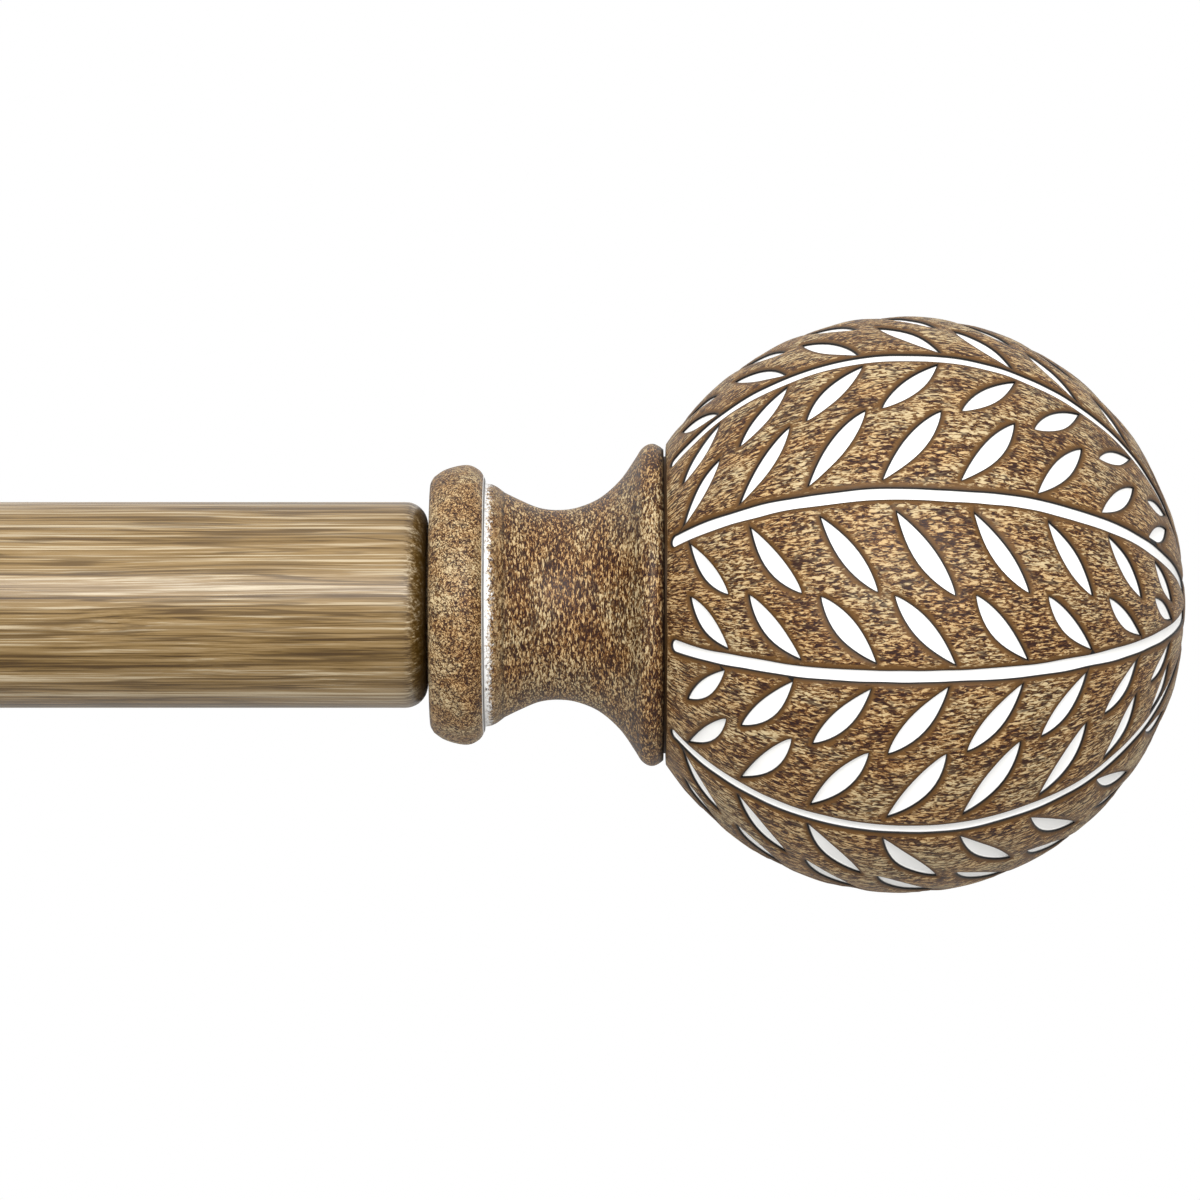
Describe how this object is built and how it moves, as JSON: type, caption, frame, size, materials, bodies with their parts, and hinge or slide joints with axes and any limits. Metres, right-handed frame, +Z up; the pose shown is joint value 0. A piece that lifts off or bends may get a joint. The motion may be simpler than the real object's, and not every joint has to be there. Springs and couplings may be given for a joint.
{
  "type": "curtain rod with brackets",
  "caption": "Telescoping curtain rod with carved ball finials, lying in two wall brackets with open cups, set screws and adjustable projection.",
  "frame": {"origin": "centre of the right bracket's wall face, where it lies on the wall", "axes": "+X along the rod to the right end, +Y out of the room into the wall, +Z up"},
  "size_m": [0.898, 0.1574, 0.071],
  "materials": {
    "rod_film": "satin brown wood-grain film on a steel tube",
    "glazed_wood": "turned wood, gold dry-brushed over a dark brown glaze",
    "carved_wood": "carved wood, gold dry-brushed over brown, cuts painted white",
    "bare_wood": "plain beech",
    "bronze_paint": "rubbed dark bronze paint",
    "zinc_steel": "zinc plated",
    "dark_nylon": "moulded",
    "white_nylon": "moulded"
  },
  "bodies": {
    "right_bracket": {"right_wall_plate": "bronze_paint", "right_arm_sleeve": "bronze_paint", "right_wall_screw_top": "bronze_paint", "right_wall_screw_bottom": "bronze_paint", "right_wall_anchor_top": "white_nylon", "right_wall_anchor_bottom": "white_nylon"},
    "right_cradle": {"right_arm_bar": "bronze_paint", "right_cradle_cup": "bronze_paint"},
    "right_set_screw": {"right_set_screw": "zinc_steel"},
    "right_set_knob": {"right_set_knob": "bronze_paint"},
    "right_lock_screw": {"right_lock_screw": "zinc_steel"},
    "right_lock_knob": {"right_lock_knob": "bronze_paint"},
    "left_bracket": {"left_wall_plate": "bronze_paint", "left_arm_sleeve": "bronze_paint", "left_wall_screw_top": "bronze_paint", "left_wall_screw_bottom": "bronze_paint", "left_wall_anchor_top": "white_nylon", "left_wall_anchor_bottom": "white_nylon"},
    "left_cradle": {"left_arm_bar": "bronze_paint", "left_cradle_cup": "bronze_paint"},
    "left_set_screw": {"left_set_screw": "zinc_steel"},
    "left_set_knob": {"left_set_knob": "bronze_paint"},
    "left_lock_screw": {"left_lock_screw": "zinc_steel"},
    "left_lock_knob": {"left_lock_knob": "bronze_paint"},
    "outer_rod": {"outer_rod": "rod_film", "outer_rod_insert": "dark_nylon", "rod_mouth_ring": "dark_nylon"},
    "inner_rod": {"inner_rod": "rod_film", "inner_rod_insert": "dark_nylon", "inner_rod_glide": "dark_nylon"},
    "right_finial_stud": {"right_finial_stud": "zinc_steel"},
    "right_finial": {"right_finial_neck": "glazed_wood", "right_finial_ball": "carved_wood", "right_finial_dowel": "bare_wood"},
    "left_finial_stud": {"left_finial_stud": "zinc_steel"},
    "left_finial": {"left_finial_neck": "glazed_wood", "left_finial_ball": "carved_wood", "left_finial_dowel": "bare_wood"}
  },
  "joints": [
    {"name": "right_projection", "type": "slide", "parent": "right_bracket", "child": "right_cradle", "axis": [0, -1, 0], "range_m": [0, 0.0254]},
    {"name": "rod_lift", "type": "slide", "parent": "right_cradle", "child": "outer_rod", "axis": [0, 0, 1], "range_m": [0, 0.04]},
    {"name": "rod_telescope", "type": "slide", "parent": "outer_rod", "child": "inner_rod", "axis": [-1, 0, 0], "range_m": [0, 0.508]},
    {"name": "left_bracket_spacing", "type": "slide", "parent": "right_bracket", "child": "left_bracket", "axis": [-1, 0, 0], "range_m": [0, 0.508]},
    {"name": "left_projection", "type": "slide", "parent": "left_bracket", "child": "left_cradle", "axis": [0, -1, 0], "range_m": [0, 0.0254]},
    {"name": "right_finial_travel", "type": "slide", "parent": "outer_rod", "child": "right_finial_stud", "axis": [1, 0, 0], "range_m": [0, 0.015]},
    {"name": "right_finial_turn", "type": "hinge", "parent": "right_finial_stud", "child": "right_finial", "pos_m": [0.1, -0.0889, 0], "axis": [1, 0, 0], "range_deg": [0, 4320]},
    {"name": "left_finial_travel", "type": "slide", "parent": "inner_rod", "child": "left_finial_stud", "axis": [-1, 0, 0], "range_m": [0, 0.015]},
    {"name": "left_finial_turn", "type": "hinge", "parent": "left_finial_stud", "child": "left_finial", "pos_m": [-0.6112, -0.0889, 0], "axis": [-1, 0, 0], "range_deg": [0, 4320]},
    {"name": "right_set_travel", "type": "slide", "parent": "right_cradle", "child": "right_set_screw", "axis": [0, -1, 0], "range_m": [0, 0.00324]},
    {"name": "right_set_turn", "type": "hinge", "parent": "right_set_screw", "child": "right_set_knob", "pos_m": [0, -0.0889, 0], "axis": [0, -1, 0], "range_deg": [0, 1440]},
    {"name": "right_lock_travel", "type": "slide", "parent": "right_bracket", "child": "right_lock_screw", "axis": [0, 0, -1], "range_m": [0, 0.00324]},
    {"name": "right_lock_turn", "type": "hinge", "parent": "right_lock_screw", "child": "right_lock_knob", "pos_m": [0, -0.052, 0], "axis": [0, 0, -1], "range_deg": [0, 1440]},
    {"name": "left_set_travel", "type": "slide", "parent": "left_cradle", "child": "left_set_screw", "axis": [0, -1, 0], "range_m": [0, 0.00324]},
    {"name": "left_set_turn", "type": "hinge", "parent": "left_set_screw", "child": "left_set_knob", "pos_m": [-0.5112, -0.0889, 0.0017], "axis": [0, -1, 0], "range_deg": [0, 1440]},
    {"name": "left_lock_travel", "type": "slide", "parent": "left_bracket", "child": "left_lock_screw", "axis": [0, 0, -1], "range_m": [0, 0.00324]},
    {"name": "left_lock_turn", "type": "hinge", "parent": "left_lock_screw", "child": "left_lock_knob", "pos_m": [-0.5112, -0.052, 0.0017], "axis": [0, 0, -1], "range_deg": [0, 1440]}
  ],
  "couplings": [
    {"joint": "left_bracket_spacing", "follows": "rod_telescope", "ratio": 1},
    {"joint": "left_projection", "follows": "right_projection", "ratio": 1},
    {"joint": "right_finial_travel", "follows": "right_finial_turn", "m_per_rad": 0.00019894},
    {"joint": "left_finial_travel", "follows": "left_finial_turn", "m_per_rad": 0.00019894},
    {"joint": "right_set_travel", "follows": "right_set_turn", "m_per_rad": 0.00012732},
    {"joint": "right_lock_travel", "follows": "right_lock_turn", "m_per_rad": 0.00012732},
    {"joint": "left_set_travel", "follows": "left_set_turn", "m_per_rad": 0.00012732},
    {"joint": "left_lock_travel", "follows": "left_lock_turn", "m_per_rad": 0.00012732}
  ]
}
